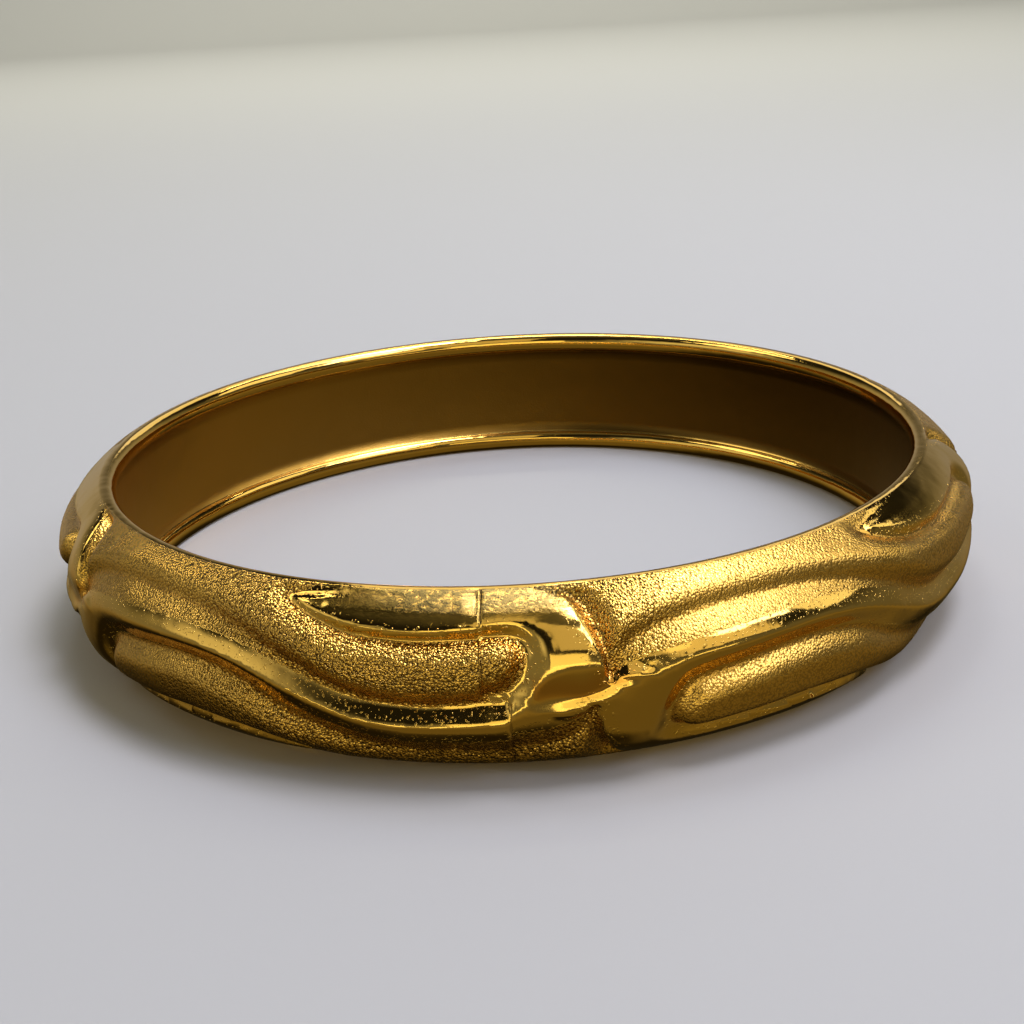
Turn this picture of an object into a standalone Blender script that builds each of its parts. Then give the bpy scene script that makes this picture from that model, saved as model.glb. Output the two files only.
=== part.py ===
# A closed slip-on bangle of gold-plated cast metal, lying flat, in metres with +Z up.
# The origin is at the bottom centre, and the solder seam faces the front, which is -Y.
# The band is one turned ring. Its outer face carries a cast relief: two rows of hollows with
# pillowed floors, one row from each rim, with a polished ridge that winds between them.

import math

import bmesh
import bpy
import numpy as np

MM = 0.001

# Driving sizes of the band
INNER_DIAMETER = 63.5 * MM
BAND_HEIGHT = 12.1 * MM
BAND_THICKNESS = 4.85 * MM
FACE_ROUNDING = 3.1

# The polished lips and the satin wall between them, on the wrist side
LIP_HEIGHT = 1.7 * MM
LIP_PROUD = 0.65 * MM
WALL_BOW = 0.25 * MM
RIM_FLAT = 0.4 * MM

# The cast relief
REPEATS = 5
RELIEF_DEPTH = 0.9 * MM
SLOPE_WIDTH = 3.1 * MM
PILLOW_WIDTH = 1.6 * MM
CREST_ROLL = 0.9 * MM
CREST_SHARE = 0.16
RIM_FADE = 0.5 * MM

# How much of a floor, a bank and a rim is rounded, at its foot and at its top
FLOOR_ROUNDING = (0.15, 0.7)
BANK_ROUNDING = (0.35, 0.10)
RIM_ROUNDING = (0.5, 0.5)

# The solder seam: the strip lost a sliver of its pattern there, and the joint is stepped
SEAM_LOSS = 3.1 * MM
SEAM_UPPER = math.radians(-4.2)
SEAM_LOWER = math.radians(-1.6)

# Where the hollows of the upper and the lower row begin, as angles from the front
UPPER_START = math.radians(8.2)
LOWER_START = math.radians(6.5)
LOWER_REACH = 1.05

# How finely the solid is faceted
STEPS_AROUND = 180
STEPS_FACE = 18
STEPS_LIP = 4
STEPS_WALL = 2
STEPS_STATION = 4
STEPS_CURVE = 400
SHARP_ANGLE = math.radians(40)

INNER_RADIUS = INNER_DIAMETER / 2
CREST_RADIUS = INNER_RADIUS + BAND_THICKNESS
EDGE_RADIUS = INNER_RADIUS + LIP_PROUD + RIM_FLAT

# The outline of one hollow, in three runs of stations. Along is a share of one repeat, across a
# share of the face from the hollow's own rim, slope a share of SLOPE_WIDTH for the bank outside
# the outline, and depth a share of RELIEF_DEPTH.
STEEP_SIDE = (
    (-0.100, -0.020, 0.12, 0.30),
    (-0.058, 0.016, 0.18, 0.55),
    (-0.032, 0.050, 0.25, 0.85),
    (-0.012, 0.180, 0.25, 1.00),
    (-0.002, 0.312, 0.18, 1.05),
    (0.000, 0.418, 0.12, 0.95),
)
RIDGE_SIDE = (
    (0.000, 0.418, 0.16, 0.95),
    (0.010, 0.340, 0.75, 0.85),
    (0.030, 0.280, 0.90, 0.80),
    (0.062, 0.237, 0.95, 0.78),
    (0.105, 0.206, 0.97, 0.75),
    (0.170, 0.179, 1.00, 0.72),
    (0.297, 0.184, 0.95, 0.72),
    (0.384, 0.235, 0.80, 0.78),
    (0.438, 0.295, 0.72, 0.82),
    (0.493, 0.365, 0.65, 0.87),
    (0.548, 0.447, 0.52, 0.92),
    (0.593, 0.492, 0.46, 0.95),
    (0.653, 0.519, 0.42, 1.00),
    (0.718, 0.516, 0.42, 1.00),
    (0.840, 0.474, 0.50, 1.00),
    (0.868, 0.432, 0.62, 1.00),
    (0.883, 0.368, 0.62, 1.00),
    (0.887, 0.310, 0.60, 1.00),
    (0.884, 0.257, 0.58, 1.00),
    (0.870, 0.216, 0.42, 1.00),
    (0.840, 0.202, 0.22, 0.95),
    (0.735, 0.220, 0.18, 0.90),
    (0.680, 0.227, 0.17, 0.88),
    (0.632, 0.222, 0.17, 0.82),
    (0.575, 0.203, 0.17, 0.75),
    (0.535, 0.170, 0.16, 0.62),
    (0.497, 0.125, 0.14, 0.52),
    (0.466, 0.066, 0.10, 0.40),
)
TONGUE_SIDE = (
    (0.466, 0.066, 0.10, 0.38),
    (0.500, 0.045, 0.20, 0.26),
    (0.550, 0.020, 0.25, 0.14),
    (0.600, -0.010, 0.25, 0.05),
    (0.660, -0.040, 0.25, 0.00),
)


def base_face():
    """The plain outer face before it is carved, top to bottom: radius, height and run."""
    level = np.linspace(1, -1, STEPS_CURVE)
    height = BAND_HEIGHT / 2 * (1 + level)
    fall = 1 - np.abs(level) ** FACE_ROUNDING
    radius = EDGE_RADIUS + (CREST_RADIUS - EDGE_RADIUS) * fall
    run = np.concatenate([[0], np.cumsum(np.hypot(np.diff(radius), np.diff(height)))])
    return radius, height, run


FACE_RADIUS, FACE_HEIGHT, FACE_RUN = base_face()
FACE_LENGTH = FACE_RUN[-1]
SEAM_ANGLE = SEAM_LOSS / CREST_RADIUS
REPEAT_ANGLE = (2 * math.pi + SEAM_ANGLE) / REPEATS
REPEAT_LENGTH = REPEAT_ANGLE * (EDGE_RADIUS + 2 * CREST_RADIUS) / 3


def face_point(share):
    """Radius, height and outward direction of the plain face at a share of its run."""
    run = np.clip(share, 0, 1) * FACE_LENGTH
    near = FACE_LENGTH / STEPS_CURVE
    before = np.clip(run - near, 0, FACE_LENGTH)
    after = np.clip(run + near, 0, FACE_LENGTH)
    across = np.interp(after, FACE_RUN, FACE_RADIUS) - np.interp(before, FACE_RUN, FACE_RADIUS)
    down = np.interp(after, FACE_RUN, FACE_HEIGHT) - np.interp(before, FACE_RUN, FACE_HEIGHT)
    size = np.hypot(across, down)
    radius = np.interp(run, FACE_RUN, FACE_RADIUS)
    height = np.interp(run, FACE_RUN, FACE_HEIGHT)
    return radius, height, -down / size, across / size


def smooth_run(stations):
    """A Catmull-Rom curve through a run of stations, all columns together."""
    rows = np.array(stations)
    rows = np.vstack([2 * rows[0] - rows[1], rows, 2 * rows[-1] - rows[-2]])
    share = np.linspace(0, 1, STEPS_STATION, endpoint=False)[:, None]
    pieces = []
    for a, b, c, d in zip(rows, rows[1:], rows[2:], rows[3:]):
        bend = (2 * a - 5 * b + 4 * c - d) * share ** 2 + (3 * b - a - 3 * c + d) * share ** 3
        pieces.append(b + 0.5 * ((c - a) * share + bend))
    pieces.append(rows[-2:-1])
    return np.vstack(pieces)


def hollow_outline():
    """The whole outline in real lengths: along, across, slope and depth."""
    runs = [smooth_run(run) for run in (STEEP_SIDE, RIDGE_SIDE, TONGUE_SIDE)]
    outline = np.vstack([runs[0][:-1], runs[1][:-1], runs[2]])
    return outline * (REPEAT_LENGTH, FACE_LENGTH, SLOPE_WIDTH, RELIEF_DEPTH)


def ramp(x, foot, top):
    """Rises from 0 to 1 over x from 0 to 1, rounded over a share of it at the foot and the top."""
    x = np.clip(x, 0, 1)
    grade = 1 / (1 - foot / 2 - top / 2)
    rising = grade * x * x / (2 * foot)
    straight = grade * (x - foot / 2)
    levelling = 1 - grade * (1 - x) ** 2 / (2 * top)
    return np.where(x < foot, rising, np.where(x < 1 - top, straight, levelling))


def hollow_depth(along, across, outline):
    """How deep one hollow is at points given in lengths from its start and its own rim."""
    nearest = np.full(along.shape, np.inf)
    slope = np.ones(along.shape)
    depth = np.zeros(along.shape)
    inside = np.zeros(along.shape, bool)
    closing = len(outline) - 1
    for index, start in enumerate(outline):
        end = outline[0] if index == closing else outline[index + 1]
        step = end - start
        crossed = (start[1] > across) != (end[1] > across)
        level = step[1] if step[1] else 1.0
        inside ^= crossed & (along < start[0] + (across - start[1]) * step[0] / level)
        if index == closing:
            continue
        share = (along - start[0]) * step[0] + (across - start[1]) * step[1]
        share = np.clip(share / (step[:2] @ step[:2]), 0, 1)
        gap = np.hypot(along - start[0] - share * step[0], across - start[1] - share * step[1])
        closer = gap < nearest
        nearest = np.where(closer, gap, nearest)
        slope = np.where(closer, start[2] + share * step[2], slope)
        depth = np.where(closer, start[3] + share * step[3], depth)
    floor = ramp(nearest / PILLOW_WIDTH, *FLOOR_ROUNDING)
    bank = (1 - CREST_SHARE) * ramp(nearest / slope, *BANK_ROUNDING)
    crest = 1 - CREST_SHARE * np.exp(-np.maximum(nearest - slope, 0) / CREST_ROLL)
    return depth * (1 - np.where(inside, floor, np.where(nearest < slope, bank, crest)))


def row_depth(angle, across, outline):
    """Depth of a whole row of hollows, at angles from its start and lengths from its rim."""
    along = np.mod(angle, REPEAT_ANGLE) / REPEAT_ANGLE * REPEAT_LENGTH
    here = hollow_depth(along, across, outline)
    following = hollow_depth(along - REPEAT_LENGTH, across, outline)
    return np.maximum(here, following)


def relief(angle, share):
    """Depth of the carving at an angle from the front and a share of the face from the top."""
    outline = hollow_outline()
    seam = np.where(share < 0.5, SEAM_UPPER, SEAM_LOWER)
    lost = np.where(angle < seam, SEAM_ANGLE, 0.0)
    upper = row_depth(angle - UPPER_START - lost, share * FACE_LENGTH, outline)
    lower = row_depth(LOWER_START - angle + lost, (1 - share) * FACE_LENGTH / LOWER_REACH, outline)
    rim = np.minimum(share, 1 - share) * FACE_LENGTH
    return np.maximum(upper, lower) * ramp(rim / RIM_FADE, *RIM_ROUNDING)


def face_section():
    """The plain outer face, top to bottom, as radius, height and share of its run."""
    shares = np.linspace(0, 1, STEPS_FACE + 1)
    radius, height, _, _ = face_point(shares)
    return list(zip(radius, height, shares))


def lip_section():
    """The half-round lip at the bottom rim, from the rim's flat up to the satin wall."""
    points = []
    for step in range(STEPS_LIP + 1):
        turn = math.pi * step / STEPS_LIP
        radius = INNER_RADIUS + LIP_PROUD * (1 - math.sin(turn))
        points.append((radius, LIP_HEIGHT / 2 * (1 - math.cos(turn)), -1.0))
    return points


def wall_section():
    """The satin wall between the lips, bowed a little away from the wrist."""
    points = []
    for step in range(1, STEPS_WALL):
        share = step / STEPS_WALL
        radius = INNER_RADIUS + LIP_PROUD + WALL_BOW * math.sin(math.pi * share)
        points.append((radius, LIP_HEIGHT + share * (BAND_HEIGHT - 2 * LIP_HEIGHT), -1.0))
    return points


def section():
    """The closed cross-section. The share is -1 where the face isn't carved."""
    lip = lip_section()
    top_lip = [(radius, BAND_HEIGHT - height, share) for radius, height, share in reversed(lip)]
    return face_section() + lip + wall_section() + top_lip


def turn_section(bm):
    """Spin the cross-section into a closed ring, keeping each point's share of the face."""
    share_layer = bm.verts.layers.float.new("face_share")
    verts = []
    for radius, height, share in section():
        vert = bm.verts.new((radius, 0, height))
        vert[share_layer] = share
        verts.append(vert)
    edges = [bm.edges.new((a, b)) for a, b in zip(verts, verts[1:] + verts[:1])]
    bmesh.ops.spin(
        bm,
        geom=verts + edges,
        cent=(0, 0, 0),
        axis=(0, 0, 1),
        angle=2 * math.pi,
        steps=STEPS_AROUND,
        use_merge=True,
    )
    return share_layer


def carve(bm, share_layer):
    """Sink the outer face by the relief, along the plain face's outward direction."""
    verts = [vert for vert in bm.verts if vert[share_layer] >= 0]
    share = np.array([vert[share_layer] for vert in verts])
    angle = np.array([math.atan2(vert.co.x, -vert.co.y) for vert in verts])
    depth = relief(angle, share)
    radius, height, outward, upward = face_point(share)
    radius = radius - depth * outward
    height = height - depth * upward
    for vert, turn, distance, level in zip(verts, angle, radius, height):
        vert.co = (distance * math.sin(turn), -distance * math.cos(turn), level)


def gold():
    """The polished yellow gold plating."""
    material = bpy.data.materials.new("gold_plate")
    material.use_nodes = True
    shader = material.node_tree.nodes["Principled BSDF"]
    shader.inputs["Base Color"].default_value = (0.90, 0.62, 0.20, 1)
    shader.inputs["Metallic"].default_value = 1.0
    shader.inputs["Roughness"].default_value = 0.18
    return material


def make_bangle(collection):
    """The band, its lips and its relief as one cast and soldered piece."""
    bm = bmesh.new()
    share_layer = turn_section(bm)
    carve(bm, share_layer)
    bmesh.ops.recalc_face_normals(bm, faces=bm.faces)
    mesh = bpy.data.meshes.new("bangle")
    bm.to_mesh(mesh)
    bm.free()
    mesh.shade_smooth()
    mesh.set_sharp_from_angle(angle=SHARP_ANGLE)
    mesh.materials.append(gold())
    bangle = bpy.data.objects.new("bangle", mesh)
    collection.objects.link(bangle)
    return bangle


def build():
    """Clear the scene and make the bangle in a collection of its own."""
    for item in list(bpy.data.objects):
        bpy.data.objects.remove(item)
    collection = bpy.data.collections.new("gold_bangle")
    bpy.context.scene.collection.children.link(collection)
    make_bangle(collection)


build()
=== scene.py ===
# %% [markdown]
# This lesson dresses a closed slip-on bangle. The real one is a strip of cast metal, bent round,
# soldered at one seam, filed and gilded. All that shows is metal, so the looks come from two
# things: a finely carved surface, and a finish that changes from mirror to frost across it.
# The fixed frame gives the place and the size, and nothing here moves or resizes it.

# %% Load the fixed frame
import math
from types import SimpleNamespace

import bmesh
import bpy
import numpy as np
from mathutils import Matrix, Vector


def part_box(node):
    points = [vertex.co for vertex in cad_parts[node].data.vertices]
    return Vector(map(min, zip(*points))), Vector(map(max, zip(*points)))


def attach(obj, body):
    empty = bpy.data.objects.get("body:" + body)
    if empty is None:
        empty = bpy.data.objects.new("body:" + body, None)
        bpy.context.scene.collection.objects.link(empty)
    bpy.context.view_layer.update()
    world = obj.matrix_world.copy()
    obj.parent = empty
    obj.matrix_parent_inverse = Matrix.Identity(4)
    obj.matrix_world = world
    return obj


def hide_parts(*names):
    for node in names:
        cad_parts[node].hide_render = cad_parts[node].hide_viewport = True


MM = 0.001
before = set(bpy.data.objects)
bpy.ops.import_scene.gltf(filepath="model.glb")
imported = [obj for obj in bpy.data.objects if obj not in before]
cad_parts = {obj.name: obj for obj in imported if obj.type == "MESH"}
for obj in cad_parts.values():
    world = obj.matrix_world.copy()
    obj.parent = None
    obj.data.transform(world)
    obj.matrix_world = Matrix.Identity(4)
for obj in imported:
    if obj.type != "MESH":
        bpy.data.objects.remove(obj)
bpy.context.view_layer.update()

# %% [markdown]
# A turned band is a closed section, spun about the ring's axis. The section could be drawn as one
# curve, but the finish follows its parts, so each part is worked out by itself: the domed outer
# face, the half-round polished lips, and the satin wall between them. The sizes are the band's
# own, in metres, and the height comes from the frame.

# %% Sizes of the band
low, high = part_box("bangle")
BAND_HEIGHT = high.z - low.z
INNER_RADIUS = 31.75 * MM
CREST_RADIUS = 36.6 * MM
FACE_ROUNDING = 3.1
LIP_HEIGHT = 1.7 * MM
LIP_PROUD = 0.65 * MM
WALL_BOW = 0.25 * MM
RIM_FLAT = 0.4 * MM
EDGE_RADIUS = INNER_RADIUS + LIP_PROUD + RIM_FLAT

SECTORS = 15
STEPS_SECTOR = 64
STEPS_FACE = 72
STEPS_LIP = 11
STEPS_WALL = 8
STEPS_CURVE = 800


def plain_face():
    """The outer face before it is carved, top to bottom: radius, height and run along it."""
    level = np.linspace(1, -1, STEPS_CURVE)
    height = BAND_HEIGHT / 2 * (1 + level)
    dome = 1 - np.abs(level) ** FACE_ROUNDING
    radius = EDGE_RADIUS + (CREST_RADIUS - EDGE_RADIUS) * dome
    run = np.concatenate([[0], np.cumsum(np.hypot(np.diff(radius), np.diff(height)))])
    return radius, height, run


FACE_RADIUS, FACE_HEIGHT, FACE_RUN = plain_face()
FACE_LENGTH = FACE_RUN[-1]
NEAR_BY = FACE_LENGTH / 300
print("the outer face is", round(FACE_LENGTH / MM, 2), "mm from rim to rim")


def face_point(share):
    """Radius, height and outward direction of the plain face at a share of its run."""
    run = np.clip(share, 0, 1) * FACE_LENGTH
    before = np.clip(run - NEAR_BY, 0, FACE_LENGTH)
    after = np.clip(run + NEAR_BY, 0, FACE_LENGTH)
    across = np.interp(after, FACE_RUN, FACE_RADIUS) - np.interp(before, FACE_RUN, FACE_RADIUS)
    down = np.interp(after, FACE_RUN, FACE_HEIGHT) - np.interp(before, FACE_RUN, FACE_HEIGHT)
    size = np.hypot(across, down)
    radius = np.interp(run, FACE_RUN, FACE_RADIUS)
    height = np.interp(run, FACE_RUN, FACE_HEIGHT)
    return radius, height, -down / size, across / size


# %% [markdown]
# The ornament is two rows of hollows. Each hollow starts at a sharp V near the middle of the face,
# widens along its own rim and closes in a round end, and a polished tongue reaches into it from
# the rim. The lower row is the upper one turned by half a turn. It could be sculpted by hand, but
# then the repeats would differ for no reason. Here one outline is a short table of stations, and
# the depth comes from how far a point lies from that line: a bank outside it and a pillow inside.
# A soft fold, which runs from the V's tip back to the next round end, is a second, open line.

# %% The outline of one hollow
REPEATS = 5
RELIEF_DEPTH = 0.9 * MM
SLOPE_WIDTH = 3.1 * MM
SEAM_LOSS = 3.1 * MM
SEAM_UPPER = math.radians(-4.2)
SEAM_LOWER = math.radians(-1.6)
UPPER_START = math.radians(8.2)
LOWER_START = math.radians(6.5)
LOWER_REACH = 1.05
STEPS_STATION = 4

# Along is a share of one repeat, across a share of the face from the hollow's own rim, slope a
# share of SLOPE_WIDTH, depth a share of RELIEF_DEPTH, and frost the share of the bank that the
# frosting covers.
STEEP_SIDE = (
    (-0.100, -0.020, 0.12, 0.30, 0.9),
    (-0.058, 0.016, 0.18, 0.55, 0.9),
    (-0.032, 0.050, 0.25, 0.85, 0.9),
    (-0.012, 0.180, 0.25, 1.00, 0.9),
    (-0.002, 0.312, 0.18, 1.05, 0.9),
    (0.000, 0.418, 0.12, 0.95, 0.6),
)
RIDGE_SIDE = (
    (0.000, 0.418, 0.16, 0.95, 0.3),
    (0.010, 0.340, 0.75, 0.85, 0.4),
    (0.030, 0.280, 0.90, 0.80, 0.5),
    (0.062, 0.237, 0.95, 0.78, 0.55),
    (0.105, 0.206, 0.97, 0.75, 0.6),
    (0.170, 0.179, 1.00, 0.72, 0.6),
    (0.297, 0.184, 0.95, 0.72, 0.5),
    (0.384, 0.235, 0.80, 0.78, 0.4),
    (0.438, 0.295, 0.72, 0.82, 0.3),
    (0.493, 0.365, 0.65, 0.87, 0.25),
    (0.548, 0.447, 0.52, 0.92, 0.2),
    (0.593, 0.492, 0.46, 0.95, 0.15),
    (0.653, 0.519, 0.42, 1.00, 0.1),
    (0.718, 0.516, 0.42, 1.00, 0.1),
    (0.840, 0.474, 0.50, 1.00, 0.1),
    (0.868, 0.432, 0.62, 1.00, 0.08),
    (0.883, 0.368, 0.62, 1.00, 0.08),
    (0.887, 0.310, 0.60, 1.00, 0.08),
    (0.884, 0.257, 0.58, 1.00, 0.08),
    (0.870, 0.216, 0.42, 1.00, 0.05),
    (0.840, 0.202, 0.22, 0.95, 0.0),
    (0.735, 0.220, 0.18, 0.90, 0.0),
    (0.680, 0.227, 0.17, 0.88, 0.0),
    (0.632, 0.222, 0.17, 0.82, 0.0),
    (0.575, 0.203, 0.17, 0.75, 0.0),
    (0.535, 0.170, 0.16, 0.62, 0.0),
    (0.497, 0.125, 0.14, 0.52, 0.0),
    (0.466, 0.066, 0.10, 0.40, 0.0),
)
TONGUE_SIDE = (
    (0.466, 0.066, 0.10, 0.38, 0.0),
    (0.500, 0.045, 0.20, 0.26, -0.5),
    (0.550, 0.020, 0.25, 0.14, -1.0),
    (0.600, -0.010, 0.25, 0.05, -1.0),
    (0.660, -0.040, 0.25, 0.00, -1.0),
)
# The fold lies in the upper row only. Its slope is the width of its short bank.
FOLD_LINE = (
    (-0.138, 0.506, 0.40, 0.00, 0.0),
    (-0.116, 0.492, 0.52, 0.20, 0.0),
    (-0.096, 0.482, 0.56, 0.34, 0.0),
    (-0.076, 0.474, 0.56, 0.40, 0.0),
    (-0.056, 0.480, 0.46, 0.40, 0.0),
    (-0.039, 0.490, 0.28, 0.40, 0.0),
    (-0.020, 0.476, 0.28, 0.40, 0.0),
    (0.001, 0.446, 0.28, 0.36, 0.0),
)

SEAM_ANGLE = SEAM_LOSS / CREST_RADIUS
REPEAT_ANGLE = (2 * math.pi + SEAM_ANGLE) / REPEATS
REPEAT_LENGTH = REPEAT_ANGLE * (EDGE_RADIUS + 2 * CREST_RADIUS) / 3


def smooth_run(stations):
    """A Catmull-Rom curve through a run of stations, all columns together."""
    rows = np.array(stations)
    rows = np.vstack([2 * rows[0] - rows[1], rows, 2 * rows[-1] - rows[-2]])
    share = np.linspace(0, 1, STEPS_STATION, endpoint=False)[:, None]
    pieces = []
    for a, b, c, d in zip(rows, rows[1:], rows[2:], rows[3:]):
        bend = (2 * a - 5 * b + 4 * c - d) * share ** 2 + (3 * b - a - 3 * c + d) * share ** 3
        pieces.append(b + 0.5 * ((c - a) * share + bend))
    pieces.append(rows[-2:-1])
    return np.vstack(pieces)


def to_scale(outline):
    """An outline in metres: along, across, slope, depth and width of the frosted bank."""
    outline[:, 4] = outline[:, 4] * outline[:, 2]
    return outline * (REPEAT_LENGTH, FACE_LENGTH, SLOPE_WIDTH, RELIEF_DEPTH, SLOPE_WIDTH)


def hollow_outline():
    """The three sides of a hollow joined into one line, with a sharp turn between them."""
    steep, ridge, tongue = [smooth_run(side) for side in (STEEP_SIDE, RIDGE_SIDE, TONGUE_SIDE)]
    return to_scale(np.vstack([steep[:-1], ridge[:-1], tongue]))


HOLLOW = hollow_outline()
FOLD = to_scale(smooth_run(FOLD_LINE))
print("one repeat is", round(REPEAT_LENGTH / MM, 1), "mm long, its hollow has", len(HOLLOW), "points")

# %% [markdown]
# Every point of the face is measured against that outline. The nearest point of the line, and
# the side it lies on, say how deep the metal is sunk there and whether it was frosted or
# buffed. The same measure gives the two lines where the surface turns sharply: the bottom of
# the valley, and the crest of the bank.


# %% Measure points against the outline
COLUMNS = 5


def measure(outline, along, across):
    """How points lie to an outline: the gap to it, the foot on it with its columns, and inside."""
    gap = np.full(along.shape, np.inf)
    foot = np.zeros((COLUMNS,) + along.shape)
    inside = np.zeros(along.shape, bool)
    closing = len(outline) - 1
    for index, start in enumerate(outline):
        end = outline[0] if index == closing else outline[index + 1]
        step = end - start
        crossed = (start[1] > across) != (end[1] > across)
        level = step[1] if step[1] else 1.0
        inside ^= crossed & (along < start[0] + (across - start[1]) * step[0] / level)
        if index == closing:
            continue
        share = (along - start[0]) * step[0] + (across - start[1]) * step[1]
        share = np.clip(share / (step[:2] @ step[:2]), 0, 1)
        here = np.hypot(along - start[0] - share * step[0], across - start[1] - share * step[1])
        closer = here < gap
        gap = np.where(closer, here, gap)
        for column in range(COLUMNS):
            foot[column] = np.where(closer, start[column] + share * step[column], foot[column])
    return gap, foot, inside


# %% [markdown]
# The depth follows the gap along a profile. A straight ramp would look folded from card, so each
# ramp is rounded over a share of its run at the foot and at the top. The crest of a bank is
# crisp, except round the hollow's end, where buffing has worn it round.

# %% Depth from the gap
PILLOW_WIDTH = 1.6 * MM
PILLOW_ROUNDING = (0.15, 0.7)
BANK_FOOT = 0.35
BANK_TOP = 0.10
CREST_ROLL = 0.9 * MM
ROLL_SHARE = 0.16
ROUND_END = 0.83
ROUND_FADE = 0.04
ROUND_TOP = 0.36
FOLD_REACH = 1.3 * MM
FOLD_ROUNDING = (0.3, 0.15)


def ramp(x, foot, top):
    """Rises from 0 to 1 over x from 0 to 1, rounded over a share of it at the foot and the top."""
    x = np.clip(x, 0, 1)
    grade = 1 / (1 - foot / 2 - top / 2)
    rising = grade * x * x / (2 * foot)
    straight = grade * (x - foot / 2)
    levelling = 1 - grade * (1 - x) ** 2 / (2 * top)
    return np.where(x < foot, rising, np.where(x < 1 - top, straight, levelling))


def sink(gap, foot, inside):
    """Depth of the metal, from the gap to the outline and the foot's slope and depth."""
    pillow = ramp(gap / PILLOW_WIDTH, *PILLOW_ROUNDING)
    at_end = np.clip((foot[0] / REPEAT_LENGTH - ROUND_END) / ROUND_FADE, 0, 1)
    bank = (1 - ROLL_SHARE) * ramp(gap / foot[2], BANK_FOOT, BANK_TOP + ROUND_TOP * at_end)
    roll = 1 - ROLL_SHARE * np.exp(-np.maximum(gap - foot[2], 0) / CREST_ROLL)
    return foot[3] * (1 - np.where(inside, pillow, np.where(gap < foot[2], bank, roll)))


def fold_depth(gap, foot, across):
    """Depth of the fold: a short straight bank below its line and a long soft one above it."""
    bank = 1 - ramp(gap / foot[2], *FOLD_ROUNDING)
    return foot[3] * np.where(across > foot[1], bank, np.exp(-(gap / FOLD_REACH) ** 2))


# %% [markdown]
# The outline is drawn once, so each point of the face is first carried into the hollow's own
# measure: from an angle and a share to a length along and across, in each row and each repeat
# that may reach it. The strip lost a sliver of its pattern at the solder seam, so the points
# before the seam are carried that much further.

# %% Every row and repeat
ROW_REACH = 0.80
ROW_LEAD = 0.35
RIM_FADE = 0.5 * MM
RIM_ROUNDING = (0.5, 0.5)
VALLEY_HOLLOW = 0.2
VALLEY_FOLD = 0.3
VALLEY_PALE = 0.2 * MM
VALLEY_WIDE = 3
VALLEY_DEEP = 0.15 * MM
TINY = 1e-9


def rows(angle, share):
    """For each row and repeat: the points near it, where they lie in it, and the scales back."""
    seam = np.where(share < 0.5, SEAM_UPPER, SEAM_LOWER)
    lost = np.where(angle < seam, SEAM_ANGLE, 0.0)
    scale = REPEAT_LENGTH / REPEAT_ANGLE
    upper = np.mod(angle - UPPER_START - lost, REPEAT_ANGLE) * scale
    lower = np.mod(LOWER_START - angle + lost, REPEAT_ANGLE) * scale
    across_upper = share * FACE_LENGTH
    across_lower = (1 - share) * FACE_LENGTH / LOWER_REACH
    turned = (
        (upper, across_upper, 1 / scale, 1 / FACE_LENGTH),
        (lower, across_lower, -1 / scale, -LOWER_REACH / FACE_LENGTH),
    )
    for along, across, back_along, back_across in turned:
        for copy in (0, REPEAT_LENGTH):
            near = (across < ROW_REACH * FACE_LENGTH) & (along - copy > -ROW_LEAD * REPEAT_LENGTH)
            near = np.nonzero(near)[0]
            yield near, along[near] - copy, across[near], back_along, back_across


def settle(angle, share, reach):
    """Slide points that lie within reach of a crest or a valley onto it."""
    best = np.full(angle.shape, reach)
    turn = np.zeros(angle.shape)
    climb = np.zeros(angle.shape)
    for near, along, across, back_along, back_across in rows(angle, share):
        gap, foot, inside = measure(HOLLOW, along, across)
        for line in (np.zeros(gap.shape), foot[2]):
            away = np.abs(gap - line)
            pull = (line - gap) / np.maximum(gap, TINY)
            wanted = (away < best[near]) & ((line == 0) | ~inside)
            found = near[wanted]
            best[found] = away[wanted]
            turn[found] = ((along - foot[0]) * pull * back_along)[wanted]
            climb[found] = ((across - foot[1]) * pull * back_across)[wanted]
    return angle + turn, share + climb


def relief(angle, share):
    """Depth, signed gap to the edge of the frosting, and gap to the nearest valley line."""
    depth = np.zeros(angle.shape)
    frost = np.full(angle.shape, -np.inf)
    valley = np.full(angle.shape, np.inf)
    for near, along, across, back_along, _ in rows(angle, share):
        gap, foot, inside = measure(HOLLOW, along, across)
        depth[near] = np.maximum(depth[near], sink(gap, foot, inside))
        frost[near] = np.maximum(frost[near], np.where(inside, gap, -gap) + foot[4])
        bottom = np.where(foot[3] > VALLEY_HOLLOW * RELIEF_DEPTH, gap + VALLEY_PALE, np.inf)
        valley[near] = np.minimum(valley[near], bottom)
        if back_along > 0:
            gap, foot, _ = measure(FOLD, along, across)
            depth[near] = np.maximum(depth[near], fold_depth(gap, foot, across))
            above = np.where(across > foot[1], gap, gap / VALLEY_WIDE - VALLEY_DEEP)
            bottom = np.where(foot[3] > VALLEY_FOLD * RELIEF_DEPTH, above, np.inf)
            valley[near] = np.minimum(valley[near], bottom)
    rim = np.minimum(share, 1 - share) * FACE_LENGTH
    return depth * ramp(rim / RIM_FADE, *RIM_ROUNDING), frost, valley


# %% [markdown]
# The section is a chain of vertices, turned with the spin operator. A Screw modifier would do
# the same, but the carving needs the real vertices at once. One spin makes a sector and a second
# one repeats it all round, which is much quicker than a single spin of a thousand steps. Each
# vertex carries its share of the face in a layer, so that after the turn it still knows how far
# it lies from the rims.

# %% Turn the band
OFF_FACE = -1.0
WELD = 0.001 * MM


def lip_section():
    """The half-round lip at the bottom rim, from the rim's flat up to the satin wall."""
    points = []
    for step in range(STEPS_LIP + 1):
        turn = math.pi * step / STEPS_LIP
        radius = INNER_RADIUS + LIP_PROUD * (1 - math.sin(turn))
        points.append((radius, LIP_HEIGHT / 2 * (1 - math.cos(turn)), OFF_FACE))
    return points


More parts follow.
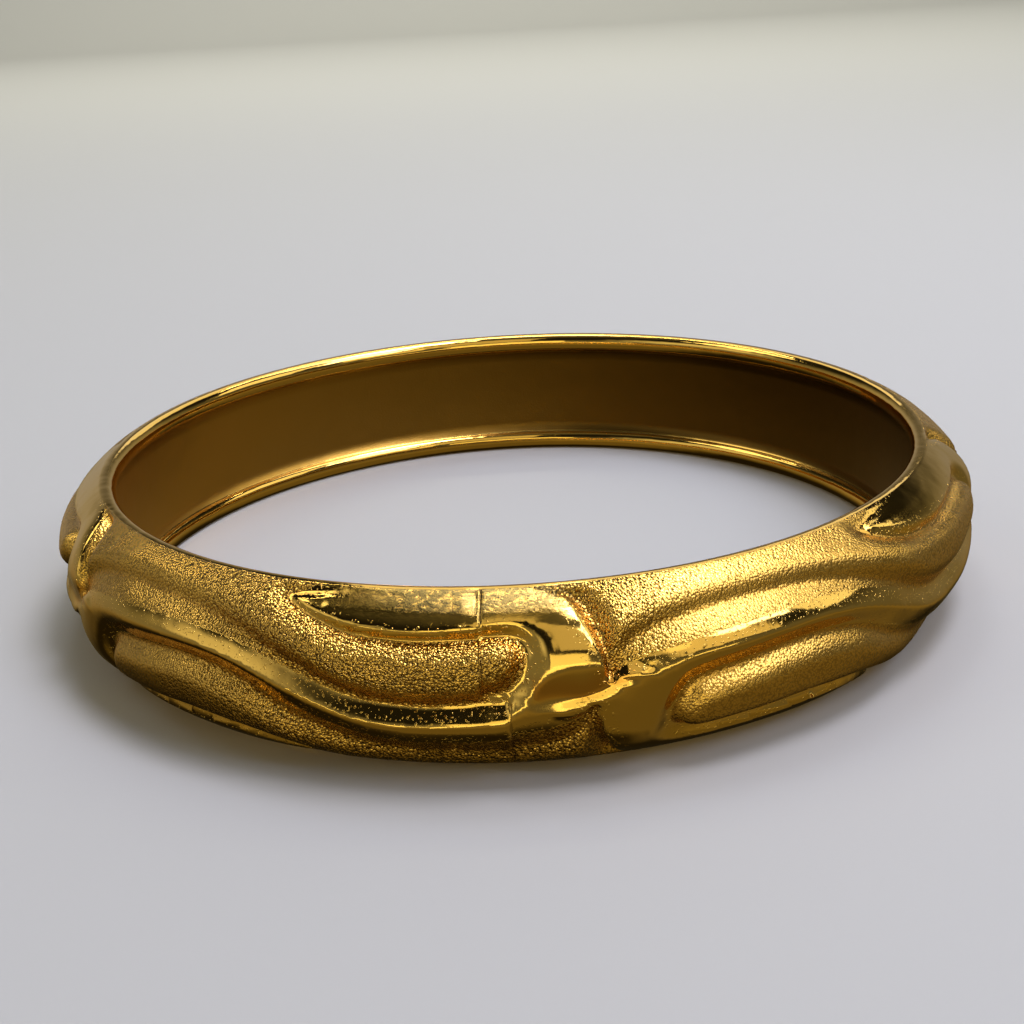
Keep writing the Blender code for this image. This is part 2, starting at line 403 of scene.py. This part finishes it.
def wall_section():
    """The satin wall between the lips, bowed a little away from the wrist."""
    points = []
    for step in range(1, STEPS_WALL):
        share = step / STEPS_WALL
        radius = INNER_RADIUS + LIP_PROUD + WALL_BOW * math.sin(math.pi * share)
        height = LIP_HEIGHT + share * (BAND_HEIGHT - 2 * LIP_HEIGHT)
        points.append((radius, height, OFF_FACE))
    return points


def band_section():
    """The closed section: radius, height and share of the face."""
    shares = np.linspace(0, 1, STEPS_FACE + 1)
    radius, height, _, _ = face_point(shares)
    lip = lip_section()
    top_lip = [(radius, BAND_HEIGHT - height, share) for radius, height, share in reversed(lip)]
    return list(zip(radius, height, shares)) + lip + wall_section() + top_lip


def turn_band():
    """Spin the section into a closed ring."""
    bm = bmesh.new()
    layer = bm.verts.layers.float.new("face_share")
    verts = []
    for radius, height, share in band_section():
        vert = bm.verts.new((radius, 0, height))
        vert[layer] = share
        verts.append(vert)
    edges = [bm.edges.new((a, b)) for a, b in zip(verts, verts[1:] + verts[:1])]
    sector = 2 * math.pi / SECTORS
    axis = {"cent": (0, 0, 0), "axis": (0, 0, 1)}
    bmesh.ops.spin(bm, geom=verts + edges, angle=sector, steps=STEPS_SECTOR, **axis)
    whole = bm.verts[:] + bm.edges[:] + bm.faces[:]
    bmesh.ops.spin(bm, geom=whole, angle=2 * math.pi, steps=SECTORS, use_duplicate=True, **axis)
    bmesh.ops.remove_doubles(bm, verts=bm.verts, dist=WELD)
    return bm, layer


band, share_layer = turn_band()
print("turned band:", len(band.verts), "vertices,", len(band.faces), "faces")

# %% [markdown]
# Now the face is carved. Vertices near a crest or a valley are first slid onto it, so the
# sharp lines run through vertices and don't zigzag across the grid. Then each one sinks along
# the plain face's outward direction. A hand's work is added at the same time: the slow waves of
# filing, the small step where the two ends of the strip meet, and a flat filed beside it.

# %% Carve the face
SNAP = 0.11 * MM
SNAP_MARGIN = 0.01
SEAM_STEP = 0.07 * MM
SEAM_FADE = 2 * MM
FILED_FLAT = 0.30 * MM
FILED_WIDTH = 1.15 * MM
FILED_SHARE = 0.15
FILE_WAVE = 0.03 * MM


def hand_wave(angle, share):
    """The slow unevenness that filing and buffing leave on the whole face."""
    slow = np.sin(23 * angle + 5 * share) + np.sin(37 * angle - 9 * share + 1.3)
    return FILE_WAVE / 2 * slow * np.sin(math.pi * share)


def filed_flat(offset, share):
    """A small flat that the file left beside the seam, at the upper rim."""
    beside = np.clip(1 + offset / FILED_WIDTH, 0, 1) * (offset < 0)
    below = np.clip(1 - share / FILED_SHARE, 0, 1)
    return FILED_FLAT * beside * below * ramp(share * FACE_LENGTH / RIM_FADE, *RIM_ROUNDING)


def hand_work(angle, share, offset):
    """The step at the seam and the slow waves, both fading out towards the rims."""
    step = SEAM_STEP * np.exp(-np.maximum(offset, 0) / SEAM_FADE) * (offset > 0)
    return (step + hand_wave(angle, share)) * np.sin(math.pi * share)


def carve(bm, layer):
    """Sink the face by the relief and return what the finish needs to know of each vertex."""
    bm.verts.ensure_lookup_table()
    everything = np.array([vert[layer] for vert in bm.verts])
    chosen = np.nonzero(everything >= 0)[0]
    verts = [bm.verts[index] for index in chosen]
    share = everything[chosen]
    angle = np.array([math.atan2(vert.co.x, -vert.co.y) for vert in verts])
    inner = (share > SNAP_MARGIN) & (share < 1 - SNAP_MARGIN)
    moved_angle, moved_share = settle(angle, share, SNAP)
    angle = np.where(inner, moved_angle, angle)
    share = np.where(inner, np.clip(moved_share, 0, 1), share)
    depth, frost, valley = relief(angle, share)
    offset = (angle - np.where(share < 0.5, SEAM_UPPER, SEAM_LOWER)) * CREST_RADIUS
    depth = depth + hand_work(angle, share, offset)
    depth = depth + filed_flat(offset, share)
    radius, height, outward, upward = face_point(share)
    radius = radius - depth * outward
    height = height - depth * upward
    for vert, turn, distance, level in zip(verts, angle, radius, height):
        vert.co = (distance * math.sin(turn), -distance * math.cos(turn), level)
    return chosen, share, {"frost_gap": frost, "valley_gap": valley, "seam_gap": offset}


carved, face_share, gaps = carve(band, share_layer)
bmesh.ops.recalc_face_normals(band, faces=band.faces)
print("carved", len(carved), "vertices")

# %% [markdown]
# The mesh becomes an object at the origin, with its place in its vertices. The gaps are stored
# as attributes, in millimetres, so the shader can draw edges finer than the mesh. A painted
# image could say the same, but it would need a layout and would blur at the edges.

# %% Make the object
FAR_GAP = 12.0


def store(mesh, name, chosen, values, elsewhere):
    """A float attribute with values for the chosen vertices and one value for the others."""
    data = np.full(len(mesh.vertices), elsewhere)
    data[chosen] = values
    attribute = mesh.attributes.new(name, "FLOAT", "POINT")
    attribute.data.foreach_set("value", data.astype(np.float32))


mesh = bpy.data.meshes.new("gold_bangle")
band.to_mesh(mesh)
band.free()
for name, values in gaps.items():
    elsewhere = -FAR_GAP if name == "frost_gap" else FAR_GAP
    store(mesh, name, carved, np.clip(values / MM, -FAR_GAP, FAR_GAP), elsewhere)
store(mesh, "face", carved, face_share, OFF_FACE)
mesh.shade_smooth()
bangle = bpy.data.objects.new("gold_bangle", mesh)
bpy.context.scene.collection.objects.link(bangle)
mesh.calc_loop_triangles()
print("bangle mesh:", len(mesh.loop_triangles), "triangles")

# %% [markdown]
# A finish is easier to read as sums than as a web of nodes. This small class wraps a socket, so
# that an expression on it adds the Math nodes by itself. Any other node comes from one method.


# %% Shader maths as expressions
class Wire:
    """A socket's output, with the arithmetic that a mask needs."""

    def __init__(self, tree, socket):
        self.tree = tree
        self.socket = socket

    def math(self, operation, *others):
        """A Math node with this wire first, and other wires or numbers after it."""
        sockets = dict(enumerate((self,) + others))
        return add_node(self.tree, "ShaderNodeMath", {"operation": operation}, sockets)

    def __add__(self, other):
        return self.math("ADD", other)

    def __radd__(self, other):
        return self.math("ADD", other)

    def __sub__(self, other):
        return self.math("SUBTRACT", other)

    def __rsub__(self, other):
        return self.math("MULTIPLY_ADD", -1.0, other)

    def __mul__(self, other):
        return self.math("MULTIPLY", other)

    def __rmul__(self, other):
        return self.math("MULTIPLY", other)

    def rise(self, start, end):
        """A smooth step from 0 at start to 1 at end."""
        settings = {"interpolation_type": "SMOOTHSTEP"}
        sockets = {"Value": self, "From Min": start, "From Max": end, "To Min": 0.0, "To Max": 1.0}
        return add_node(self.tree, "ShaderNodeMapRange", settings, sockets, "Result")

    def fall(self, start, end):
        """A smooth step from 1 at start to 0 at end."""
        return 1 - self.rise(start, end)

    def twin(self, name):
        """Another output of the node that this wire comes from."""
        return Wire(self.tree, self.socket.node.outputs[name])


def plug(tree, socket, value):
    """Link a wire to a socket, or set a plain value on it."""
    if isinstance(value, Wire):
        tree.links.new(value.socket, socket)
    else:
        socket.default_value = value


def add_node(tree, kind, settings, sockets, out=0):
    """A node of a kind: its settings first, then its sockets, which go by name or by number."""
    node = tree.nodes.new(kind)
    for name, value in settings.items():
        setattr(node, name, value)
    for name, value in sockets.items():
        plug(tree, node.inputs[name], value)
    return Wire(tree, node.outputs[out])


class Nodes:
    """A node tree, and the few kinds of node that a finish and a room both ask for."""

    def __init__(self, tree):
        self.tree = tree

    def node(self, kind, settings=None, out=0, **sockets):
        """A node by the names of its sockets, with an underscore for each space."""
        named = {name.replace("_", " "): value for name, value in sockets.items()}
        return add_node(self.tree, kind, settings or {}, named, out)

    def vector(self, operation, first, second, out="Vector"):
        """A Vector Math node of two vectors."""
        pair = {0: first, 1: second}
        return add_node(self.tree, "ShaderNodeVectorMath", {"operation": operation}, pair, out)

    def blend(self, factor, first, second):
        """A mix of two colours by a mask. Its colour sockets share their names, so go by number."""
        sockets = {"Factor": factor, 6: first, 7: second}
        return add_node(self.tree, "ShaderNodeMix", {"data_type": "RGBA"}, sockets, 2)


class Finish(Nodes):
    """A new material with its Principled shader, and the patterns that its surface needs."""

    def __init__(self, name):
        self.material = bpy.data.materials.new(name)
        self.material.use_nodes = True
        super().__init__(self.material.node_tree)
        self.shader = self.tree.nodes["Principled BSDF"]
        self.place = self.node("ShaderNodeTexCoord", out="Object")

    def attribute(self, name):
        """A float attribute of the mesh."""
        return self.node("ShaderNodeAttribute", {"attribute_name": name}, out="Fac")

    def noise(self, size, detail=2.0, roughness=0.5, stretch=(1, 1, 1)):
        """Noise from 0 to 1 whose lumps are about one size across, in metres."""
        where = self.place
        if stretch != (1, 1, 1):
            where = self.node("ShaderNodeMapping", Vector=self.place, Scale=stretch)
        look = {"Scale": 1 / size, "Detail": detail, "Roughness": roughness}
        return self.node("ShaderNodeTexNoise", Vector=where, **look)

    def grains(self, size):
        """Grains side by side: the way to each one's middle, and the height of its tilted top."""
        away = self.node("ShaderNodeTexVoronoi", out="Distance", Vector=self.place, Scale=1 / size)
        offset = self.vector("SUBTRACT", self.place, away.twin("Position"))
        lean = self.vector("SUBTRACT", away.twin("Color"), (0.5, 0.5, 0.5))
        return away, self.vector("DOT_PRODUCT", offset, lean, out="Value")

    def bump(self, height, depth):
        """A bump of one height field, whose full range is depth in metres."""
        return self.node("ShaderNodeBump", Height=height, Distance=depth)

    def set(self, **sockets):
        """Values or wires for the shader's own sockets."""
        for name, value in sockets.items():
            plug(self.tree, self.shader.inputs[name.replace("_", " ")], value)


# %% [markdown]
# The gilding is one metal with three finishes: buffed, frosted and satin. Three materials would
# need a cut between them, and the real edges are soft, so one material blends them by masks. The
# masks come from the stored gaps and are broken up with noise at their edge, because a buffing
# wheel never stops on a clean line. Gaps are in millimetres, and places along an axis in metres.

# %% Where each finish lies
FROST_EDGE = (-0.06, 0.10)
FROST_RAGGED = 0.35
HALF_BUFFED = (-1.3, -0.1)
VALLEY_EDGE = (0.0, 0.45)
LIP_EDGE = (LIP_HEIGHT - 0.1 * MM, LIP_HEIGHT + 0.2 * MM)
TOP_LIP_EDGE = (BAND_HEIGHT - LIP_HEIGHT - 0.2 * MM, BAND_HEIGHT - LIP_HEIGHT + 0.1 * MM)
COARSE_FROM = (-26 * MM, -14 * MM)
COARSE_TO = (3 * MM, 12 * MM)
SCUFF_FROM = (-12.0, -4.0)
SCUFF_TO = (5.0, 8.0)
SCUFF_BELOW = (0.08, 0.16)
SOLDER_EDGE = (0.14, 0.26)
SOLDER_RAGGED = 0.25
GROOVE_END = (0.14, 0.19)
BEAD_START = (0.19, 0.24)
BEAD_END = (0.46, 0.50)
JOINT_START = (0.50, 0.52)


def seam_masks(gold, seam, face, outer):
    """The scuffed rim beside the seam, and the solder's groove, bead and flush joint."""
    ragged = SOLDER_RAGGED * gold.noise(0.6 * MM, detail=3)
    solder = (seam.math("ABSOLUTE") + ragged).fall(*SOLDER_EDGE)
    return {
        "scuff": seam.rise(*SCUFF_FROM) * seam.fall(*SCUFF_TO) * face.fall(*SCUFF_BELOW) * outer,
        "groove": solder * face.fall(*GROOVE_END) * outer,
        "bead": solder * face.rise(*BEAD_START) * face.fall(*BEAD_END),
        "joint": solder * face.rise(*JOINT_START),
    }


def finish_masks(gold):
    """Where each finish lies, as masks from 0 to 1."""
    frost_gap = gold.attribute("frost_gap")
    face = gold.attribute("face")
    side = gold.node("ShaderNodeSeparateXYZ", out="X", Vector=gold.place)
    height = side.twin("Z")
    outer = face.rise(-0.02, 0.0)
    ragged = FROST_RAGGED * (gold.noise(0.5 * MM, detail=4) - 0.5)
    frost = (frost_gap + ragged).rise(*FROST_EDGE)
    return SimpleNamespace(
        side=side,
        frost=frost,
        halfway=frost_gap.rise(*HALF_BUFFED) * (1 - frost),
        # the valley mask places a painted reflection and shade, not a finish
        valley=gold.attribute("valley_gap").fall(*VALLEY_EDGE) * outer,
        wall=height.rise(*LIP_EDGE) * height.fall(*TOP_LIP_EDGE) * (1 - outer),
        coarse=side.rise(*COARSE_FROM) * side.fall(*COARSE_TO),
        **seam_masks(gold, gold.attribute("seam_gap"), face, outer),
    )


# %% [markdown]
# Frosting like this can be struck with a matting punch or blasted with grit. Each grain is a tiny
# dome that leans its own way. Plain noise gives soft lumps that only look dull. A cell pattern
# gives grains with an edge, and a random tilt of each cell's top makes some of them flash and
# their neighbours go dark, which is what sparkle is. The grain is coarser near the seam.

# %% Grain of the frosting
GRAIN = 0.16 * MM
GRAIN_DOME = 0.075
GRAIN_SWELL = 0.07
GRAIN_TILT = (0.1, 0.45)
GRAIN_DEPTH = (0.42, 0.58)
GRAIN_PATCHES = (0.45, 0.95)
PIT_EDGE = (0.40, 0.66)
PIT_STRENGTH = (0.36, 0.34)


def coarser(amounts, coarse):
    """An amount that grows from its first value by its second where the grain is coarse."""
    return amounts[0] + amounts[1] * coarse


def frosting(gold, masks):
    """The height of the grains in millimetres, and the painted shade in the hollows between them."""
    away, tilt = gold.grains(GRAIN)
    patchy = GRAIN_PATCHES[0] + GRAIN_PATCHES[1] * gold.noise(1.4 * MM, detail=2)
    domes = gold.noise(0.45 * MM, detail=2) * GRAIN_SWELL - away * away * GRAIN_DOME
    sparkle = tilt * coarser(GRAIN_TILT, masks.coarse) * (1 / MM)
    height = (domes + sparkle) * patchy * coarser(GRAIN_DEPTH, masks.coarse)
    # painted shade: the frosted colour is darkened in the hollows between the grains, where real
    # shade falls
    pit_shadow = away.rise(*PIT_EDGE) * masks.frost * coarser(PIT_STRENGTH, masks.coarse)
    return height, pit_shadow


# %% [markdown]
# The colour of a metal is the colour of its reflections, so the shades are few: a clear gold, a
# redder and darker gold in the valleys, which is a painted reflection of gold in gold and painted
# shade in the crease, painted shade in the pits between the grains, and dull scratches where the
# rim was filed beside the seam. The wrist wall is satin, and painted shade darkens its tint
# towards the right. The bump heights are in millimetres and add up to one height field.

# %% Gold
POLISHED_GOLD = (0.96, 0.58, 0.11, 1)
FROSTED_GOLD = (0.94, 0.54, 0.095, 1)
# painted reflection and shade for the valleys: gold reflected in gold, darker in the crease
VALLEY_PAINTED_REFLECTION = (0.80, 0.35, 0.045, 1)
WALL_GOLD = (0.60, 0.32, 0.05, 1)
# painted shade: the darker tint of the satin wall towards the right
PAINTED_WALL_SHADE = (0.16, 0.085, 0.015, 1)
# painted shade for the hollows between the grains
PAINTED_PIT_SHADOW = (0.14, 0.075, 0.015, 1)
SCUFF_SHADE = (0.24, 0.17, 0.05, 1)
SOLDER_SHADE = (0.16, 0.08, 0.02, 1)
WALL_DARKENS = (-36 * MM, 20 * MM)
SCRATCH_EDGE = (0.37, 0.53)
SPECK_EDGE = (0.62, 0.70)
VALLEY_REFLECTION_TINT = 0.65
SCUFF_TINT = 0.85
GROOVE_TINT = 0.6
JOINT_TINT = 0.5

MIRROR_ROUGH = 0.05
SMUDGE_ROUGH = 0.08
FROST_ROUGH = 0.18
COARSE_FLASH = 0.12
WALL_ROUGH = 0.30
SCUFF_ROUGH = 0.06

WAVE_HEIGHT = 0.05
RIPPLE_HEIGHT = 0.006
SPECK_HEIGHT = 0.035
WALL_GRAIN = 0.08
SCRATCH_HEIGHT = 0.06
GROOVE_DEPTH = 0.05
BEAD_HEIGHT = 0.12
JOINT_DEPTH = 0.03


def gold_colour(gold, masks, pit_shadow, scratches):
    """The colour of the metal blended mask by mask, with painted reflection and shade in the valleys,
    and painted shade between the grains and on the wall.
    """
    worn = scratches.rise(*SCRATCH_EDGE) * masks.scuff
    tint = gold.blend(masks.frost, POLISHED_GOLD, FROSTED_GOLD)
    # painted reflection and shade: the valleys take a redder, darker gold
    tint = gold.blend(masks.valley * VALLEY_REFLECTION_TINT, tint, VALLEY_PAINTED_REFLECTION)
    # painted shade between the grains
    tint = gold.blend(pit_shadow, tint, PAINTED_PIT_SHADOW)
    tint = gold.blend(worn * SCUFF_TINT, tint, SCUFF_SHADE)
    solder = masks.groove * GROOVE_TINT + masks.joint * JOINT_TINT
    tint = gold.blend(solder, tint, SOLDER_SHADE)
    # painted shade: the satin wall's tint darkens towards the right
    wall_tint = gold.blend(masks.side.rise(*WALL_DARKENS), WALL_GOLD, PAINTED_WALL_SHADE)
    return gold.blend(masks.wall, tint, wall_tint)


def gold_roughness(gold, masks):
    """Nearly a mirror, with smudges, and rougher where it is frosted, satin or scuffed."""
    buffed = MIRROR_ROUGH + SMUDGE_ROUGH * gold.noise(3 * MM, detail=4)
    frosted = (FROST_ROUGH - COARSE_FLASH * masks.coarse) * masks.frost
    return buffed + frosted + WALL_ROUGH * masks.wall + SCUFF_ROUGH * masks.scuff


def gold_height(gold, masks, grain, scratches):
    """The height field in millimetres, from slow waves down to specks."""
    waves = gold.noise(2.2 * MM, detail=1) * WAVE_HEIGHT
    waves = waves + gold.noise(0.7 * MM, detail=2) * RIPPLE_HEIGHT
    specks = gold.noise(0.2 * MM, detail=1).rise(*SPECK_EDGE) * masks.halfway * SPECK_HEIGHT
    lumps = waves + grain * masks.frost + specks + grain * WALL_GRAIN * masks.wall
    lumps = lumps + scratches * masks.scuff * SCRATCH_HEIGHT
    lumps = lumps - masks.groove * GROOVE_DEPTH + masks.bead * BEAD_HEIGHT
    return lumps - masks.joint * JOINT_DEPTH


def gold_finish():
    """The gilding of the whole bangle."""
    gold = Finish("gold_gilding")
    masks = finish_masks(gold)
    grain, pit_shadow = frosting(gold, masks)
    scratches = gold.noise(0.35 * MM, detail=5, roughness=0.75, stretch=(0.6, 0.6, 1.8))
    colour = gold_colour(gold, masks, pit_shadow, scratches)
    gold.set(Base_Color=colour, Metallic=1.0, Roughness=gold_roughness(gold, masks))
    gold.set(Normal=gold.bump(gold_height(gold, masks, grain, scratches), MM))
    print("the gold has", len(gold.tree.nodes), "nodes")
    return gold.material


bangle.data.materials.append(gold_finish())
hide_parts("bangle")
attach(bangle, "root")

# %% [markdown]
# The stage is a pale floor that sweeps up into a backdrop, so that no horizon shows. It is wide
# enough for every side view, and it isn't part of the object. Mirror reflections don't see it.
# A pale floor under polished gold would fill the lower half of the bangle with one flat tone,
# and without it the metal shows the light and dark of the room, which gives it shape.

# %% Floor
FLOOR_REACH = 6.0
SWEEP_START = 1.2
SWEEP_RADIUS = 0.5
SWEEP_STEPS = 24
BACKDROP_TOP = 2.0
PALE_FLOOR = (0.46, 0.45, 0.385, 1)


def floor_profile():
    """The floor from the side, front to back: how far back and how high."""
    profile = [(-FLOOR_REACH, 0), (SWEEP_START, 0)]
    for step in range(1, SWEEP_STEPS + 1):
        turn = math.pi / 2 * step / SWEEP_STEPS
        back = SWEEP_START + SWEEP_RADIUS * math.sin(turn)
        profile.append((back, SWEEP_RADIUS * (1 - math.cos(turn))))
    profile.append((SWEEP_START + SWEEP_RADIUS, BACKDROP_TOP))
    return profile


def make_floor():
    """A flat floor with a quarter-round sweep at the back."""
    bm = bmesh.new()
    verts = [bm.verts.new((-FLOOR_REACH, back, height)) for back, height in floor_profile()]
    edges = [bm.edges.new(pair) for pair in zip(verts, verts[1:])]
    swept = bmesh.ops.extrude_edge_only(bm, edges=edges)
    far = [item for item in swept["geom"] if isinstance(item, bmesh.types.BMVert)]
    bmesh.ops.translate(bm, verts=far, vec=(2 * FLOOR_REACH, 0, 0))
    bmesh.ops.recalc_face_normals(bm, faces=bm.faces)
    mesh = bpy.data.meshes.new("floor")
    bm.to_mesh(mesh)
    bm.free()
    mesh.shade_smooth()
    floor = bpy.data.objects.new("floor", mesh)
    bpy.context.scene.collection.objects.link(floor)
    paint = Finish("pale_floor")
    paint.set(Base_Color=PALE_FLOOR, Roughness=0.75)
    mesh.materials.append(paint.material)
    floor.visible_glossy = False
    print("floor:", len(mesh.polygons), "faces")
    return floor


make_floor()

# %% [markdown]
# Polished metal shows its surroundings, so a few large soft boxes in a dim room draw it better
# than one strong lamp: each crest picks up a clean bright line, with dark between. A box's place
# is given the way a photographer thinks of it, as a bearing and a height seen from the bangle,
# and its level is how bright it looks in the mirror of the metal.

# %% Lights
BOX_AIM = Vector((0, 0, 0.006))
WHITE = (1, 1, 1)
COOL = (0.95, 1, 1.35)
WARM = (1, 0.92, 0.70)
# The bearing is in degrees from the back, clockwise from above, the height in degrees, and the
# distance, width and depth in metres.
SOFT_BOXES = (
    ("overhead_box", 75, 70, 0.55, 0.34, 0.26, 2.6, COOL),
    ("key_box", 95, 74, 0.50, 0.16, 0.16, 12.0, (1, 1, 1.3)),
    ("back_top_box", -10, 70, 0.60, 0.14, 0.14, 6.0, COOL),
    ("back_box", 10, 42, 0.70, 0.45, 0.45, 0.9, WHITE),
    ("right_box", 85, 36, 0.60, 0.34, 0.26, 1.1, WHITE),
    ("window_box", 123, 47, 0.55, 0.24, 0.22, 4.0, (0.92, 1, 1.5)),
    ("right_card", 137, 28, 0.60, 0.30, 0.20, 0.8, WARM),
    ("front_card", 168, 44, 0.60, 0.36, 0.36, 0.55, WARM),
    ("left_box", -75, 48, 0.60, 0.26, 0.22, 2.0, WHITE),
    ("front_panel", 180, 13, 0.60, 0.44, 0.18, 1.0, (1, 0.93, 0.60)),
    ("front_strip", 178, 2.5, 0.60, 1.20, 0.05, 1.5, (1, 0.93, 0.62)),
)
BACKDROP_BOX = ("backdrop_box", Vector((0, 0.6, 0.9)), Vector((0, 1.6, 0.1)), 1.2, 0.3, 16.0, WHITE)


def soft_box(name, place, aim, width, depth, watts, colour):
    """A rectangular area lamp at a place, aimed at a point."""
    lamp = bpy.data.lights.new(name, "AREA")
    lamp.shape = "RECTANGLE"
    lamp.size = width
    lamp.size_y = depth
    lamp.energy = watts
    lamp.color = colour
    holder = bpy.data.objects.new(name, lamp)
    holder.location = place
    holder.rotation_euler = (aim - place).to_track_quat("-Z", "Y").to_euler()
    holder.visible_camera = False
    bpy.context.scene.collection.objects.link(holder)


def box_place(bearing, height, distance):
    """The point at a bearing, a height and a distance from the bangle."""
    turn = math.radians(bearing)
    rise = math.radians(height)
    flat = distance * math.cos(rise)
    return Vector((flat * math.sin(turn), flat * math.cos(turn), distance * math.sin(rise)))


def radiance(level, width, depth):
    """The watts that make a box of this size as bright as a level, seen in a mirror."""
    return level * math.pi * width * depth


for name, bearing, height, distance, width, depth, level, colour in SOFT_BOXES:
    place = box_place(bearing, height, distance)
    soft_box(name, place, BOX_AIM, width, depth, radiance(level, width, depth), colour)
soft_box(*BACKDROP_BOX)
print(len(SOFT_BOXES) + 1, "soft boxes")

# %% [markdown]
# The room between the boxes is a world with soft patches of light. A plain grey world would do
# for a matt object, but polished metal would then look like grey plastic. So the room is nearly
# black, with a dim band at the horizon, a warm glow from below in front, a little light overhead
# and a pale patch on the left. Smooth steps keep every edge soft.

# %% Dim room
BLACK = 0.012
WARM_LOW = (1.0, 0.80, 0.35, 1)
GREY_HIGH = (0.88, 0.88, 0.84, 1)
BELOW_GLOW = 0.11
ABOVE_GLOW = 0.10
LEFT_GLOW = 0.70


def dim_room():
    """A world whose light depends on the direction it is seen in: right, back and up."""
    world = bpy.data.worlds.new("dim_room")
    world.use_nodes = True
    room = Nodes(world.node_tree)
    seen = room.node("ShaderNodeTexCoord", out="Generated")
    right = room.node("ShaderNodeSeparateXYZ", out="X", Vector=seen)
    back = right.twin("Y")
    up = right.twin("Z")
    band = up.rise(-0.60, -0.05) * up.fall(0.10, 0.50)
    level = 0.12 + 0.08 * right.fall(-0.6, 0.1) + 0.16 * back.rise(0.3, 0.9)
    below = up.rise(-1.0, -0.90) * up.fall(-0.35, -0.10) * (right * 0.5 - back).rise(-0.35, 0.15)
    above = up.rise(0.80, 0.97)
    left = right.fall(-0.80, -0.45) * back.fall(-0.15, 0.25)
    left = left * up.rise(0.15, 0.32) * up.fall(0.50, 0.66)
    glow = BLACK + band * level + BELOW_GLOW * below + ABOVE_GLOW * above + LEFT_GLOW * left
    background = room.tree.nodes["Background"]
    tint = room.blend(up.rise(-0.35, 0.10), WARM_LOW, GREY_HIGH)
    plug(room.tree, background.inputs["Color"], tint)
    plug(room.tree, background.inputs["Strength"], glow)
    bpy.context.scene.world = world
    print("the room has", len(room.tree.nodes), "nodes")


dim_room()
bpy.context.scene.view_settings.view_transform = "Standard"

# %% [markdown]
# The camera stands where the photographer's did. Its place, tilt and lens were worked out from
# how the two rims and the bottom edge look in the picture, at the bangle's real size.

# %% Camera
CAMERA_PLACE = Vector((0.0, -113.95, 47.21)) * MM
CAMERA_YAW = -0.0027
CAMERA_PITCH = 0.3562
CAMERA_ROLL = -0.0585
LENS = 50.98
SENSOR = 36.0
CLIP_START = 0.01


def make_camera():
    """A camera from its place, yaw, pitch and roll, in radians."""
    forward = Vector((
        math.sin(CAMERA_YAW) * math.cos(CAMERA_PITCH),
        math.cos(CAMERA_YAW) * math.cos(CAMERA_PITCH),
        -math.sin(CAMERA_PITCH),
    ))
    level = Vector((math.cos(CAMERA_YAW), -math.sin(CAMERA_YAW), 0))
    above = level.cross(forward)
    right = level * math.cos(CAMERA_ROLL) + above * math.sin(CAMERA_ROLL)
    up = above * math.cos(CAMERA_ROLL) - level * math.sin(CAMERA_ROLL)
    turned = Matrix((right, up, -forward)).transposed().to_4x4()
    data = bpy.data.cameras.new("camera")
    data.lens = LENS
    data.sensor_width = SENSOR
    data.clip_start = CLIP_START
    camera = bpy.data.objects.new("camera", data)
    camera.matrix_world = Matrix.Translation(CAMERA_PLACE) @ turned
    bpy.context.scene.collection.objects.link(camera)
    bpy.context.scene.camera = camera
    print("camera", round(CAMERA_PLACE.length / MM), "mm from the bangle's middle")


make_camera()
